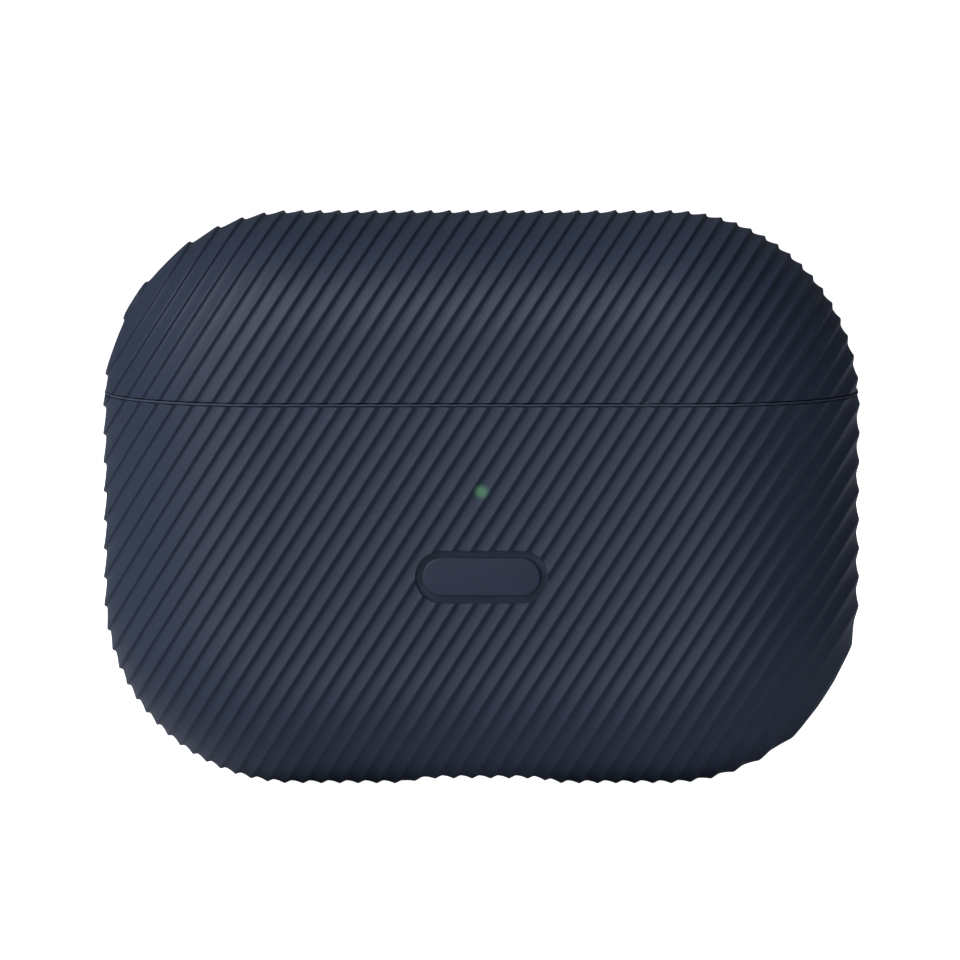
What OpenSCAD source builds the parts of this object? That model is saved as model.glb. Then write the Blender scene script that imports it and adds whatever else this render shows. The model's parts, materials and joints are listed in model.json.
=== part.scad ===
// Wireless earbuds charging case in a two-piece silicone cover.
// Axes: +X right, +Y back (hinge side), +Z up. The front faces -Y.
// Origin: middle of the underside. Lengths are in millimetres.

/* [Cover] */
// Width over the cover
cover_w = 63.2; // [63:0.1:64]
// Height over the cover
cover_h = 47.8; // [47.6:0.1:48.6]
// Depth over the cover
cover_d = 24.3; // [24.3:0.1:24.8]
// Corner radius seen from the front
corner_r = 15.9; // [15.5:0.1:16.2]
// Silicone thickness
skin_t = 1.3; // [1.2:0.1:1.3]
// Height of the parting line
seam_z = 32.9; // [32.8:0.1:33.3]

/* [Hard case] */
// Wall of the hard shells
shell_t = 1.4; // [1.3:0.1:1.4]
// Radius of each stem well
stem_r = 3.4; // [3.2:0.1:3.4]
// Distance of each stem well from the middle
stem_x = 9.6; // [9.5:0.1:9.7]
// Radius of each earbud bowl
bowl_r = 9.5; // [9:0.1:9.5]

/* [Hinge] */
// Radius of the hinge barrel
barrel_r = 1; // [0.95:0.05:1]
// Length of the hinge barrel
barrel_l = 24; // [22:1:26]

/* [Hidden] */
$fa = 6;
$fs = 0.3;
eps = 0.01;

// Body shape: rounded rectangles stacked from back to front.
foot_cut = 0.1;       // how much is cut off the underside, to leave a flat strip to stand on
half_w = cover_w / 2;
half_h = (cover_h + foot_cut) / 2;
half_d = cover_d / 2;
mid_z = cover_h - half_h;
flat_half = 1;        // half width of the flat strip round the rim
edge_x = 13.75;       // how far the side edges are rounded
edge_z = 10;          // how far the top and bottom edges are rounded
depth_steps = 9;      // facets from the rim to each face
corner_steps = 8;     // facets round each corner
far = 60;

skin_gap = 0.2;       // parting gap of the cover
shell_gap = 0.12;     // parting gap of the hard case
shell_out = skin_t + 0.03;
shell_in = skin_t + shell_t;
rear_out = half_d - shell_out;   // outer face of the hard shells, front and back
rear_in = half_d - shell_in;     // inner face of the hard shells
fit = 0.05;           // gap round pins and other close parts
touch = 0.02;         // gap between parts that rest against each other

// Inner tray and its wells
tray_drop = 0.3;
tray_t = 1.2;
tray_top = seam_z - tray_drop;
tray_wall = 1;
bowl_x = 14.2;
bowl_z = seam_z + 1;
bowl_half_d = 7.5;
stem_floor = seam_z - 24;
stem_bottom = stem_floor - tray_wall;

// Lid liner and its domes
liner_bottom = seam_z + tray_drop;
liner_t = 1;
dome_wall = 0.9;
dome_r = 9.3;
dome_z = seam_z - 1;

// Hinge
axis_y = half_d - barrel_r - fit;
knuckles = 5;
knuckle_gap = 0.1;
knuckle_l = (barrel_l - (knuckles - 1) * knuckle_gap) / knuckles;
groove_r = barrel_r + 0.15;
hinge_pin_r = 0.4;
held_bore_r = hinge_pin_r + 0.01;
turning_bore_r = hinge_pin_r + 0.04;
leaf_t = 0.48;
leaf_y = rear_out - touch - leaf_t;
leaf_near = 1.3;      // leaf edges, measured from the hinge axis
leaf_far = 5;
leaf_screw_x = 7;
leaf_screw_z = 3.5;
leaf_head_r = 0.9;
leaf_head_t = 0.25;
leaf_shaft_r = 0.4;

// Openings in the cover
hinge_window_w = 48;
hinge_window_h = 5.6;
port_window_w = 12.6;
port_window_d = 11.4;
port_window_r = 3;
port_chamfer = 0.5;
button_window_r = 4.6;

// Blank badge: an island inside a groove
badge_w = 11;
badge_h = 4.4;
badge_z = 18.5;
badge_groove = 0.6;
badge_depth = 0.45;

// Status light
led_z = 25.6;
led_thin_r = 1.2;     // where the silicone is thinned over the light
led_thin_t = 0.7;
pipe_r = 0.5;
pipe_flange_r = 1;
pipe_flange_t = 0.3;
led_w = 1;
led_h = 0.6;
led_t = 0.4;
led_board_w = 6;
led_board_h = 4;
led_board_t = 0.5;
led_flex_w = 3;
led_flex_low = 20.1;
pipe_back = rear_in - 0.45;
led_board_y = pipe_back - led_t - led_board_t;

// Main board
board_y = 5.2;
board_t = 0.8;
board_w = 36;
board_bottom = 5.9;
board_top = 23.1;
board_neck_w = 6.6;
board_neck_top = 30.2;
board_screw_x = 15;
board_screw_zs = [9.7, 20.7];
boss_r = 1.4;
boss_bore_r = 0.5;
screw_r = 0.45;
screw_l = 3;
screw_head_r = 0.9;
screw_head_t = 0.45;
flex_t = 0.15;
// Chips on the back of the main board: x, width, lower and upper edge, thickness
chips = [
    [-11.5, 4, 11.7, 15.7, 0.7],
    [11.5, 3, 10.7, 13.7, 0.6],
    [10.5, 2.4, 19.2, 21.7, 0.6],
    [-5, 2, 6.7, 7.7, 0.8],
    [5, 2, 6.7, 7.7, 0.8],
];

// Setup button and its switch
button_z = 17.7;
button_r = 3.5;
button_flange_r = 4.4;
button_travel = 0.35;
flange_t = 0.5;
flange_y = rear_in - 0.08 - flange_t;
button_stem_r = 1;
switch_w = 3.2;
switch_t = 1.6;
plunger_r = 0.7;
plunger_l = 1.2;
plunger_y = board_y + board_t + switch_t - 0.7;

// Charging coil and ferrite sheet round the button
coil_y = 7.9;
coil_t = 0.7;
coil_r = 9.5;
coil_hole_r = 6;
ferrite_y = 7.2;
ferrite_t = 0.5;
ferrite_r = 9;
ferrite_hole_r = 2.6;
lead_r = 0.15;
lead_angle = 10;

// Charging port
port_w = 8.94;
port_d = 3.16;
port_wall = 0.3;
port_bottom = shell_out + 0.15;
port_l = 7;
port_block_l = 1;
tongue_w = 6.7;
tongue_t = 0.7;
tongue_l = 4.8;
port_board_y = port_d / 2 + 0.05;
port_board_t = 0.7;
port_board_w = 10;
port_board_z = [3.7, 10.7];
port_flex_w = 4;
port_flex_z = 9.2;
gasket_w = 10.4;
gasket_d = 3.4;
gasket_t = 0.8;

// Battery cells
cell_x = 20.3;
cell_w = 11.4;
cell_d = 8.4;
cell_z = [10.7, 22.3];
cell_r = 1.5;
pad_x = 18.8;
pad_w = 7;
pad_t = 3.2;
pad_z = [12.7, 20.7];
tab_w = 1.5;
tab_t = 0.2;
tab_x = 16.4;
tab_zs = [14.7, 17.7];

// Spring contacts under each stem well
contact_pitch = 3;
contact_r = 0.45;
contact_up = 0.9;
contact_collar_r = 0.72;
contact_collar_t = 0.4;
contact_block_w = 6.4;
contact_block_d = 4.4;
contact_block_h = 3;
contact_block_top = stem_bottom - touch;
contact_cap_t = 0.7;
contact_hole_r = contact_r + fit;
contact_well_r = 0.85;
contact_floor_t = 0.4;
contact_flex_w = 5;
contact_tip_t = 0.2;
contact_tip_bevel = 0.15;
collar_top = contact_block_top - contact_cap_t - 0.03;
spring_bottom = contact_block_top - contact_block_h + contact_floor_t + touch;
spring_wire_r = 0.09;
spring_r = 0.5;
spring_turns = 4;
spring_sides = 6;
spring_steps = 12;
spring_top = collar_top - contact_collar_t - touch;

// Magnets and lid sensor
closure_x = 26.4;
closure_w = 2.4;
closure_d = 6;
closure_t = 2.4;
lid_closure_x = 25.8;
lid_closure_t = 2;
bud_magnet_x = 23.5;
bud_magnet_r = 1.8;
bud_magnet_z = 22.9;
bud_magnet_t = 1.5;
sense_y = 5;
sense_w = 3;
sense_t = 1.5;
sensor_w = 2;
sensor_h = 1.2;
sensor_t = 0.6;

// Adhesive strips that hold the lid cover
strip_w = 30;
strip_t = 0.15;
strip_depth = 0.2;
front_strip_z = [seam_z + 1, seam_z + 4.6];
rear_strip_z = [seam_z + 3.4, seam_z + 4.9];

silicone = [0.09, 0.105, 0.15];
white_plastic = [0.93, 0.93, 0.92];
steel = [0.72, 0.73, 0.75];
board_green = [0.05, 0.28, 0.16];
chip_black = [0.06, 0.06, 0.065];
copper = [0.80, 0.47, 0.28];
gold = [0.88, 0.70, 0.32];
foam_grey = [0.35, 0.35, 0.37];

// ---- shared shapes ----

// Outline of the case in the plane at y, as points counter-clockwise seen from the front.
// back_off is 0 at the rim and 1 at the front and rear faces.
function outline(inset, y, back_off) =
    let (w = half_w - inset - back_off * (edge_x - inset),
         h = half_h - inset - back_off * (edge_z - inset),
         r = corner_r - inset - back_off * ((edge_x + edge_z) / 2 - inset))
    [for (corner = [0 : 3], i = [0 : corner_steps])
        let (a = 90 * (corner + i / corner_steps),
             sx = corner == 0 || corner == 3 ? 1 : -1,
             sz = corner < 2 ? 1 : -1)
        [sx * (w - r) + r * cos(a), y, mid_z + sz * (h - r) + r * sin(a)]];

// The case's rounded form, shrunk by inset on every side.
module body(inset) {
    n = 4 * (corner_steps + 1);
    depth = half_d - inset - flat_half;
    front = [for (i = [depth_steps : -1 : 0]) 90 * i / depth_steps];
    back = [for (i = [0 : depth_steps]) 90 * i / depth_steps];
    outlines = concat(
        [for (a = front) outline(inset, -flat_half - depth * sin(a), 1 - cos(a))],
        [for (a = back) outline(inset, flat_half + depth * sin(a), 1 - cos(a))]
    );
    last = len(outlines) - 1;
    walls = [
        for (k = [0 : last - 1], i = [0 : n - 1])
            let (p = k * n + i, q = k * n + (i + 1) % n)
            each [[p, q, q + n], [p, q + n, p + n]]
    ];
    caps = [[for (i = [n - 1 : -1 : 0]) i], [for (i = [0 : n - 1]) last * n + i]];
    polyhedron([for (outline = outlines) each outline], concat(walls, caps));
}

// Everything above (or below) a height.
module above(z) {
    translate([-far, -far, z])
        cube([2 * far, 2 * far, far]);
}

module below(z) {
    translate([-far, -far, z - far])
        cube([2 * far, 2 * far, far]);
}

// Box centred on x and standing between two y and two z values.
module slab(w, y, z, x = 0) {
    translate([x - w / 2, y[0], z[0]])
        cube([w, y[1] - y[0], z[1] - z[0]]);
}

// Cylinder along +Y.
module rod_y(r, l, pos) {
    translate(pos)
        rotate([-90, 0, 0])
            cylinder(r = r, h = l);
}

// Cylinder along X, centred on x.
module rod_x(r, l, pos) {
    translate(pos)
        rotate([0, 90, 0])
            cylinder(r = r, h = l, center = true);
}

module stadium(w, h) {
    square([w - h, h], center = true);
    for (side = [-1, 1])
        translate([side * (w - h) / 2, 0])
            circle(d = h);
}

module rounded_rect(w, h, r) {
    square([w - 2 * r, h], center = true);
    square([w, h - 2 * r], center = true);
    for (sx = [-1, 1], sy = [-1, 1])
        translate([sx * (w / 2 - r), sy * (h / 2 - r)])
            circle(r = r);
}

// ---- silicone cover ----

module hinge_window() {
    translate([0, axis_y - barrel_r - 3, seam_z])
        rotate([-90, 0, 0])
            linear_extrude(far)
                stadium(hinge_window_w, hinge_window_h);
}

module port_window() {
    translate([0, 0, -eps])
        linear_extrude(skin_t + 1.5)
            rounded_rect(port_window_w, port_window_d, port_window_r);
    translate([0, 0, -1])
        linear_extrude(1 + port_chamfer)
            rounded_rect(port_window_w + 2 * port_chamfer, port_window_d + 2 * port_chamfer,
                         port_window_r + port_chamfer);
}

module badge_ring() {
    translate([0, badge_depth - half_d, badge_z])
        rotate([90, 0, 0])
            linear_extrude(1)
                difference() {
                    stadium(badge_w, badge_h);
                    stadium(badge_w - 2 * badge_groove, badge_h - 2 * badge_groove);
                }
}

module base_skin() {
    color(silicone)
        difference() {
            body(0);
            body(skin_t);
            above(seam_z - skin_gap / 2);
            below(0);
            hinge_window();
            port_window();
            badge_ring();
            rod_y(button_window_r, 5, [0, rear_out - 1, button_z]);
            rod_y(led_thin_r, led_thin_t + 1, [0, -rear_out - led_thin_t, led_z]);
        }
}

module lid_skin() {
    color(silicone)
        difference() {
            body(0);
            body(skin_t);
            below(seam_z + skin_gap / 2);
            hinge_window();
            slab(strip_w + 2 * fit, [-rear_out - strip_depth - touch, -rear_out + 1],
                 front_strip_z + [-fit, fit]);
            slab(strip_w + 2 * fit, [rear_out - 1, rear_out + strip_depth + touch],
                 rear_strip_z + [-fit, fit]);
        }
}

module lid_adhesive_strips() {
    color(foam_grey) {
        slab(strip_w, [-rear_out - 0.03 - strip_t, -rear_out - 0.03], front_strip_z);
        slab(strip_w, [rear_out + 0.03, rear_out + 0.03 + strip_t], rear_strip_z);
    }
}

// ---- hard case ----

// Room for one hinge leaf, its barrel and its screws; side is 1 for the lid and -1 for the base.
module hinge_pocket(side) {
    rod_x(groove_r, barrel_l + 0.6, [0, axis_y, seam_z]);
    translate([0, 0, seam_z])
        mirror([0, 0, side < 0 ? 1 : 0])
            slab(barrel_l + 0.3, [leaf_y - touch, half_d], [0, leaf_far + 0.1]);
    for (sx = [-1, 1])
        rod_y(leaf_shaft_r + touch, shell_t + 1,
              [sx * leaf_screw_x, rear_in - 0.5, seam_z + side * leaf_screw_z]);
}

module base_shell() {
    color(white_plastic)
        difference() {
            union() {
                difference() {
                    body(shell_out);
                    body(shell_in);
                }
                for (sx = [-1, 1], z = board_screw_zs)
                    rod_y(boss_r, rear_in + 0.4 - board_y - board_t - touch,
                          [sx * board_screw_x, board_y + board_t + touch, z]);
            }
            above(seam_z - shell_gap / 2);
            hinge_pocket(-1);
            for (sx = [-1, 1], z = board_screw_zs)
                rod_y(boss_bore_r, screw_l, [sx * board_screw_x, board_y + board_t - eps, z]);
            translate([0, 0, shell_out - 1])
                linear_extrude(shell_t + 2)
                    stadium(port_w + 2 * fit, port_d + 2 * fit);
            rod_y(button_r + 0.06, shell_t + 2, [0, rear_in - 1, button_z]);
            rod_y(pipe_r + fit, shell_t + 2, [0, -rear_out - 1, led_z]);
        }
}

module well_outside(side) {
    intersection() {
        translate([side * bowl_x, 0, bowl_z])
            sphere(r = bowl_r + tray_wall);
        slab(4 * bowl_r, [-bowl_half_d - tray_wall, bowl_half_d + tray_wall],
             [0, tray_top], side * bowl_x);
    }
    translate([side * stem_x, 0, stem_bottom])
        cylinder(r = stem_r + tray_wall, h = bowl_z - bowl_r + 1.5 - stem_bottom);
}

module well_inside(side) {
    intersection() {
        translate([side * bowl_x, 0, bowl_z])
            sphere(r = bowl_r);
        slab(4 * bowl_r, [-bowl_half_d, bowl_half_d], [0, bowl_z], side * bowl_x);
    }
    translate([side * stem_x, 0, stem_floor])
        cylinder(r = stem_r, h = bowl_z - stem_floor);
}

module inner_tray() {
    color(white_plastic)
        difference() {
            union() {
                intersection() {
                    body(shell_in + fit);
                    slab(2 * far, [-far, far], [tray_top - tray_t, tray_top]);
                }
                for (side = [-1, 1])
                    well_outside(side);
            }
            for (side = [-1, 1]) {
                well_inside(side);
                for (at = [-0.5, 0.5])
                    translate([side * stem_x + at * contact_pitch, 0, stem_bottom - 1])
                        cylinder(r = contact_hole_r + 0.03, h = tray_wall + 2);
            }
        }
}

module lid_shell() {
    color(white_plastic)
        difference() {
            difference() {
                body(shell_out);
                body(shell_in);
            }
            below(seam_z + shell_gap / 2);
            hinge_pocket(1);
        }
}

// Ball with flat front and back, d either side of the middle, cut off at the bottom.
module dome(side, r, d, bottom) {
    intersection() {
        translate([side * bowl_x, 0, dome_z])
            sphere(r = r);
        slab(4 * dome_r, [-d, d], [bottom, dome_z + 2 * dome_r], side * bowl_x);
    }
}

module lid_liner() {
    color(white_plastic)
        difference() {
            union() {
                intersection() {
                    body(shell_in + fit);
                    slab(2 * far, [-far, far], [liner_bottom, liner_bottom + liner_t]);
                }
                for (side = [-1, 1])
                    dome(side, dome_r + dome_wall, bowl_half_d + dome_wall, liner_bottom);
            }
            for (side = [-1, 1])
                dome(side, dome_r, bowl_half_d, liner_bottom - 1);
        }
}

// ---- hinge ----

function knuckle_x(i) = -barrel_l / 2 + knuckle_l / 2 + i * (knuckle_l + knuckle_gap);

// Leaf plate with knuckles first, first + 2, ...; drawn upwards from the axis.
module hinge_leaf(first, bore_r) {
    difference() {
        union() {
            slab(barrel_l, [leaf_y, leaf_y + leaf_t], [leaf_near, leaf_far]);
            for (i = [first : 2 : knuckles - 1]) {
                rod_x(barrel_r, knuckle_l, [knuckle_x(i), axis_y, 0]);
                slab(knuckle_l, [leaf_y, leaf_y + leaf_t], [0.4, leaf_near + 0.1], knuckle_x(i));
            }
        }
        rod_x(bore_r, barrel_l + 1, [0, axis_y, 0]);
        for (sx = [-1, 1]) {
            rod_y(leaf_shaft_r + 0.03, 2, [sx * leaf_screw_x, leaf_y - 1, leaf_screw_z]);
            rod_y(leaf_head_r + 0.03, 1,
                  [sx * leaf_screw_x, leaf_y + leaf_t - leaf_head_t, leaf_screw_z]);
        }
    }
}

module hinge_base_leaf() {
    color(steel)
        translate([0, 0, seam_z])
            mirror([0, 0, 1])
                hinge_leaf(0, held_bore_r);
}

module hinge_lid_leaf() {
    color(steel)
        translate([0, 0, seam_z])
            hinge_leaf(1, turning_bore_r);
}

module hinge_pin() {
    color(steel)
        rod_x(hinge_pin_r, barrel_l, [0, axis_y, seam_z]);
}

module leaf_screws(side) {
    shaft_y = rear_in + 0.1;
    head_y = leaf_y + leaf_t - leaf_head_t + 0.01;
    for (sx = [-1, 1]) {
        rod_y(leaf_shaft_r, head_y + 0.05 - shaft_y,
              [sx * leaf_screw_x, shaft_y, seam_z + side * leaf_screw_z]);
        rod_y(leaf_head_r, leaf_head_t - touch,
              [sx * leaf_screw_x, head_y, seam_z + side * leaf_screw_z]);
    }
}

module hinge_base_screws() {
    color(steel)
        leaf_screws(-1);
}

module hinge_lid_screws() {
    color(steel)
        leaf_screws(1);
}

// ---- charging port ----

module charge_port() {
    color(steel)
        translate([0, 0, port_bottom])
            linear_extrude(port_l)
                difference() {
                    stadium(port_w, port_d);
                    stadium(port_w - 2 * port_wall, port_d - 2 * port_wall);
                }
}

module port_tongue() {
    block_z = port_bottom + port_l - port_block_l;
    color(chip_black) {
        translate([0, 0, block_z])
            linear_extrude(port_block_l)
                stadium(port_w - 2 * (port_wall + touch), port_d - 2 * (port_wall + touch));
        slab(tongue_w, [-tongue_t / 2, tongue_t / 2], [block_z - tongue_l, block_z + eps]);
    }
}

module port_board() {
    color(board_green)
        slab(port_board_w, [port_board_y, port_board_y + port_board_t], port_board_z);
}

module port_flex() {
    color(gold)
        slab(port_flex_w, [port_board_y + port_board_t, board_y],
             [port_flex_z, port_flex_z + flex_t]);
}

module port_gasket() {
    color(foam_grey)
        translate([0, 0, shell_in + touch])
            linear_extrude(gasket_t)
                difference() {
                    stadium(gasket_w, gasket_d);
                    stadium(port_w + 2 * touch, port_d + 2 * touch);
                }
}

// ---- boards ----

module main_board() {
    y = [board_y, board_y + board_t];
    color(board_green)
        difference() {
            union() {
                slab(board_w, y, [board_bottom, board_top]);
                slab(board_neck_w, y, [board_top - 1, board_neck_top]);
            }
            for (sx = [-1, 1], z = board_screw_zs)
                rod_y(screw_r + 0.05, 3, [sx * board_screw_x, board_y - 1, z]);
        }
}

module board_chips() {
    back = board_y + board_t;
    color(chip_black)
        for (chip = chips)
            slab(chip[1], [back, back + chip[4]], [chip[2], chip[3]], chip[0]);
}

module board_screws() {
    color(steel)
        for (sx = [-1, 1], z = board_screw_zs) {
            rod_y(screw_r, screw_l, [sx * board_screw_x, board_y - eps, z]);
            rod_y(screw_head_r, screw_head_t,
                  [sx * board_screw_x, board_y - screw_head_t, z]);
        }
}

module hall_sensor() {
    color(chip_black)
        slab(sensor_w, [board_y - sensor_t, board_y],
             [board_neck_top - 0.3 - sensor_h, board_neck_top - 0.3]);
}

// ---- charging coil ----

module ring_y(outer, inner, t, y) {
    translate([0, y, button_z])
        rotate([-90, 0, 0])
            linear_extrude(t)
                difference() {
                    circle(r = outer);
                    circle(r = inner);
                }
}

module charging_coil() {
    color(copper)
        ring_y(coil_r, coil_hole_r, coil_t, coil_y);
}

module coil_leads() {
    r = (coil_r + ferrite_r) / 2;
    color(copper)
        for (side = [-1, 1])
            rod_y(lead_r, coil_y - board_y - board_t,
                  [side * r * sin(lead_angle), board_y + board_t,
                   button_z - r * cos(lead_angle)]);
}

module ferrite_sheet() {
    color(chip_black)
        ring_y(ferrite_r, ferrite_hole_r, ferrite_t, ferrite_y);
}

// ---- setup button ----

module setup_button() {
    color(white_plastic) {
        rod_y(button_r, rear_out - flange_y, [0, flange_y, button_z]);
        rod_y(button_flange_r, flange_t, [0, flange_y, button_z]);
        rod_y(button_stem_r, flange_y - plunger_y - plunger_l + eps,
              [0, plunger_y + plunger_l, button_z]);
    }
}

module switch_plunger() {
    color(chip_black)
        rod_y(plunger_r, plunger_l, [0, plunger_y, button_z]);
}

module button_switch() {
    back = board_y + board_t;
    color(steel)
        difference() {
            slab(switch_w, [back, back + switch_t],
                 [button_z - switch_w / 2, button_z + switch_w / 2]);
            rod_y(plunger_r + fit, switch_t, [0, plunger_y - button_travel - 0.15, button_z]);
        }
}

// ---- status light ----

module light_pipe() {
    color([0.9, 0.95, 0.92, 0.6]) {
        rod_y(pipe_r, rear_out - pipe_back, [0, -rear_out, led_z]);
        rod_y(pipe_flange_r, pipe_flange_t, [0, -pipe_back - pipe_flange_t, led_z]);
    }
}

module status_led() {
    color([0.4, 0.9, 0.5])
        slab(led_w, [-pipe_back, -pipe_back + led_t], [led_z - led_h / 2, led_z + led_h / 2]);
}

module led_board() {
    color(board_green)
        slab(led_board_w, [-pipe_back + led_t, -led_board_y],
             [led_z - led_board_h / 2, led_z + led_board_h / 2]);
}

module led_flex() {
    back = -led_board_y;
    color(gold) {
        slab(led_flex_w, [back, back + flex_t], [led_flex_low, led_z + 1]);
        slab(led_flex_w, [back, board_y], [led_flex_low, led_flex_low + flex_t]);
    }
}

// ---- batteries ----

module battery(side) {
    color(foam_grey)
        translate([side * cell_x, cell_d / 2, (cell_z[0] + cell_z[1]) / 2])
            rotate([90, 0, 0])
                linear_extrude(cell_d)
                    rounded_rect(cell_w, cell_z[1] - cell_z[0], cell_r);
}

module battery_left() {
    battery(-1);
}

module battery_right() {
    battery(1);
}

module battery_pads() {
    color(foam_grey)
        for (side = [-1, 1])
            slab(pad_w, [-cell_d / 2 - pad_t, -cell_d / 2], pad_z, side * pad_x);
}

module battery_tabs() {
    color(steel)
        for (side = [-1, 1], z = tab_zs)
            slab(tab_w, [cell_d / 2, board_y], [z, z + tab_t], side * tab_x);
}

// ---- spring contacts ----

module contact_block(side) {
    top = contact_block_top;
    bottom = top - contact_block_h;
    color(chip_black)
        difference() {
            slab(contact_block_w, [-contact_block_d / 2, contact_block_d / 2], [bottom, top],
                 side * stem_x);
            for (at = [-0.5, 0.5])
                translate([side * stem_x + at * contact_pitch, 0, 0]) {
                    translate([0, 0, bottom + contact_floor_t])
                        cylinder(r = contact_well_r,
                                 h = contact_block_h - contact_floor_t - contact_cap_t);
                    translate([0, 0, top - contact_cap_t - eps])
                        cylinder(r = contact_hole_r, h = contact_cap_t + 1);
                }
        }
}

module contact_block_left() {
    contact_block(-1);
}

module contact_block_right() {
    contact_block(1);
}

module contact_flexes() {
    z = contact_block_top - contact_cap_t;
    color(gold)
        for (side = [-1, 1])
            slab(contact_flex_w, [contact_block_d / 2, board_y], [z, z + flex_t], side * stem_x);
}

// The four contacts are numbered from left to right.
function contact_x(i) = (i < 2 ? -1 : 1) * stem_x + (i % 2 == 0 ? -0.5 : 0.5) * contact_pitch;

module contact_pin(i) {
    bottom = collar_top - contact_collar_t;
    shoulder = stem_floor + contact_up - contact_tip_t;
    color(gold)
        translate([contact_x(i), 0, 0]) {
            translate([0, 0, bottom]) {
                cylinder(r = contact_collar_r, h = contact_collar_t);
                cylinder(r = contact_r, h = shoulder - bottom);
            }
            translate([0, 0, shoulder])
                cylinder(r = contact_r - contact_tip_bevel, h = contact_tip_t);
        }
}

module contact_pin_left_outer() {
    contact_pin(0);
}

module contact_pin_left_inner() {
    contact_pin(1);
}

module contact_pin_right_inner() {
    contact_pin(2);
}

module contact_pin_right_outer() {
    contact_pin(3);
}

// One corner of the wire's section, s steps along the coil.
function spring_point(s, k) =
    let (turn = 360 * s / spring_steps,
         side = 360 * k / spring_sides,
         r = spring_r + spring_wire_r * cos(side),
         rise = spring_top - spring_bottom - 2 * spring_wire_r)
    [r * cos(turn),
     r * sin(turn),
     spring_wire_r + rise * s / (spring_turns * spring_steps) + spring_wire_r * sin(side)];

module contact_spring(i) {
    n = spring_sides;
    last = spring_turns * spring_steps;
    points = [for (s = [0 : last], k = [0 : n - 1]) spring_point(s, k)];
    walls = [
        for (s = [0 : last - 1], k = [0 : n - 1])
            let (a = s * n + k, b = s * n + (k + 1) % n)
            each [[a, b, a + n], [b, b + n, a + n]]
    ];
    ends = [[for (k = [n - 1 : -1 : 0]) k], [for (k = [0 : n - 1]) last * n + k]];
    color(steel)
        translate([contact_x(i), 0, spring_bottom])
            polyhedron(points, concat(walls, ends));
}

module contact_spring_left_outer() {
    contact_spring(0);
}

module contact_spring_left_inner() {
    contact_spring(1);
}

module contact_spring_right_inner() {
    contact_spring(2);
}

module contact_spring_right_outer() {
    contact_spring(3);
}

// ---- magnets ----

module base_closure_magnets() {
    top = tray_top - tray_t;
    color(steel)
        for (side = [-1, 1])
            slab(closure_w, [-closure_d / 2, closure_d / 2], [top - closure_t, top],
                 side * closure_x);
}

module lid_closure_magnets() {
    bottom = liner_bottom + liner_t;
    color(steel)
        for (side = [-1, 1])
            slab(closure_w, [-closure_d / 2, closure_d / 2], [bottom, bottom + lid_closure_t],
                 side * lid_closure_x);
}

module lid_sense_magnet() {
    bottom = liner_bottom + liner_t;
    color(steel)
        slab(sense_w, [sense_y - sense_w / 2, sense_y + sense_w / 2],
             [bottom, bottom + sense_t]);
}

module earbud_magnets() {
    color(steel)
        for (side = [-1, 1])
            translate([side * bud_magnet_x, 0, bud_magnet_z])
                cylinder(r = bud_magnet_r, h = bud_magnet_t);
}

base_skin();
lid_skin();
lid_adhesive_strips();
base_shell();
inner_tray();
lid_shell();
lid_liner();
hinge_base_leaf();
hinge_lid_leaf();
hinge_pin();
hinge_base_screws();
hinge_lid_screws();
charge_port();
port_tongue();
port_board();
port_gasket();
port_flex();
main_board();
board_chips();
board_screws();
hall_sensor();
charging_coil();
coil_leads();
ferrite_sheet();
setup_button();
switch_plunger();
button_switch();
light_pipe();
status_led();
led_board();
led_flex();
battery_left();
battery_right();
battery_pads();
battery_tabs();
contact_block_left();
contact_block_right();
contact_flexes();
contact_pin_left_outer();
contact_pin_left_inner();
contact_pin_right_inner();
contact_pin_right_outer();
contact_spring_left_outer();
contact_spring_left_inner();
contact_spring_right_inner();
contact_spring_right_outer();
base_closure_magnets();
lid_closure_magnets();
lid_sense_magnet();
earbud_magnets();
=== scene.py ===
import json
import math

import bmesh
import bpy
import numpy as np
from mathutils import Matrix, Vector


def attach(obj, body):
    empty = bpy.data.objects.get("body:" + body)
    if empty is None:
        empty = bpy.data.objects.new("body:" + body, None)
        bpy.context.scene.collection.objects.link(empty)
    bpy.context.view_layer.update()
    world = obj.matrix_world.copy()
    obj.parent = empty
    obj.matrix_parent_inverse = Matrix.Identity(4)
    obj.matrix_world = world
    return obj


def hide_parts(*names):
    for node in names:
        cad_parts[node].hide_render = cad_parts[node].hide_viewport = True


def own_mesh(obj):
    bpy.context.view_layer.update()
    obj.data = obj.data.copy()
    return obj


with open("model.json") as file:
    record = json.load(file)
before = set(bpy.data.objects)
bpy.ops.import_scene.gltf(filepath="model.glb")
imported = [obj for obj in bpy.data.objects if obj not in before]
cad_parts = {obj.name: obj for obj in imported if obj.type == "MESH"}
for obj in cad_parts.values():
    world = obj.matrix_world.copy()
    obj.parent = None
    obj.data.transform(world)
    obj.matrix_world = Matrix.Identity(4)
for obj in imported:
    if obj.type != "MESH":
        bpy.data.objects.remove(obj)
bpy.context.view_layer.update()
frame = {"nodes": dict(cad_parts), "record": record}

# ---- sizes in millimetres, as in the CAD ----
MM = 0.001
HALF_W, HALF_D, HALF_H = 31.6, 12.15, 23.95
MID_Z = 23.85
CORNER_R = 15.9
FLAT_HALF = 1.0  # half the depth of the straight band round the case
EDGE_X, EDGE_Z = 13.75, 10.0  # how far the outline shrinks towards the front and back
SKIN_T = 1.3
SEAM_Z = 32.9
SHELL_OUT, SHELL_IN = 1.33, 2.7
REAR_OUT = HALF_D - SHELL_OUT
AXIS_Y = 11.1
BARREL_L = 24.0
LEAF_Y, LEAF_T = 10.32, 0.48
LEAF_NEAR, LEAF_FAR = 1.3, 5.0
BARREL_R, BORE_R, TURNING_BORE_R = 1.0, 0.41, 0.44
KNUCKLES, KNUCKLE_GAP = 5, 0.1
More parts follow.
